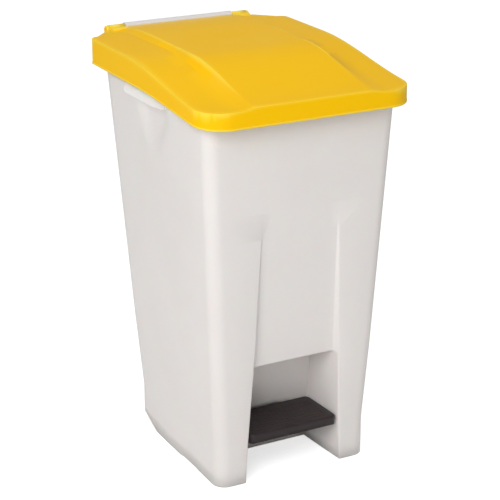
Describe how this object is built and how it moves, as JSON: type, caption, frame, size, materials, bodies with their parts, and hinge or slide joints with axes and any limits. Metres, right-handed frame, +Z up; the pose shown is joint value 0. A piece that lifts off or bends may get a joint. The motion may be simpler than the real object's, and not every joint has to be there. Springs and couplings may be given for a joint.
{
  "type": "pedal bin",
  "caption": "Tall tapered plastic pedal bin with a hinged coloured lid, a sunk foot pedal and lever, a push rod up the back, a rear grip bar and small transport wheels.",
  "frame": {"origin": "on the floor, under the middle of the bin's overall box", "axes": "+Z up; the pedal and the lid's free edge face -Y, the hinge is at +Y; +X is to the right of someone at the back looking towards +Y from the pedal side"},
  "size_m": [0.38, 0.49, 0.7],
  "materials": {
    "white_moulding": "satin moulded polypropylene",
    "yellow_moulding": "glossy moulded polypropylene",
    "dark_moulding": "matt moulded polypropylene",
    "white_nylon": "satin nylon",
    "grey_nylon": "satin nylon",
    "zinc_steel": "bright zinc plated",
    "black_rubber": "matt"
  },
  "bodies": {
    "bucket": {"body_shell": "white_moulding", "rear_handle": "white_moulding", "wall_screws": "zinc_steel", "hinge_rod": "zinc_steel", "hinge_caps": "yellow_moulding", "rod_guide_lower": "white_nylon", "rod_guide_upper": "white_nylon", "pedal_axle": "zinc_steel", "axle_clips": "zinc_steel", "wheel_stub_right": "zinc_steel", "wheel_stub_left": "zinc_steel", "stub_clips": "zinc_steel"},
    "lid": {"lid_shell": "yellow_moulding", "lid_buffers": "black_rubber", "lid_striker": "white_nylon", "hinge_bushes": "grey_nylon"},
    "lift_rod": {"push_rod": "zinc_steel", "rod_cap": "grey_nylon", "rod_foot": "grey_nylon"},
    "pedal": {"pedal_tread": "dark_moulding", "pedal_lever": "zinc_steel", "pedal_bushes": "grey_nylon", "link_pin": "zinc_steel", "link_clip": "zinc_steel", "tread_screws": "zinc_steel"},
    "wheel_right": {"wheel_hub_right": "grey_nylon", "wheel_tyre_right": "black_rubber"},
    "wheel_left": {"wheel_hub_left": "grey_nylon", "wheel_tyre_left": "black_rubber"}
  },
  "joints": [
    {"name": "lid_open", "type": "hinge", "parent": "bucket", "child": "lid", "pos_m": [0, 0.235, 0.688], "axis": [-1, 0, 0], "range_deg": [0, 75]},
    {"name": "pedal_press", "type": "hinge", "parent": "bucket", "child": "pedal", "pos_m": [0, -0.016, 0.062], "axis": [1, 0, 0], "range_deg": [0, 17.6]},
    {"name": "rod_lift", "type": "slide", "parent": "bucket", "child": "lift_rod", "axis": [0, 0.0969, 0.9953], "range_m": [0, 0.0487]},
    {"name": "wheel_right_spin", "type": "hinge", "parent": "bucket", "child": "wheel_right", "pos_m": [0.085, 0.106, 0.0305], "axis": [1, 0, 0], "continuous": true},
    {"name": "wheel_left_spin", "type": "hinge", "parent": "bucket", "child": "wheel_left", "pos_m": [-0.085, 0.106, 0.0305], "axis": [1, 0, 0], "continuous": true}
  ],
  "couplings": [
    {"joint": "pedal_press", "follows": "lid_open", "ratio": 0.23419},
    {"joint": "rod_lift", "follows": "lid_open", "m_per_rad": 0.037165}
  ]
}
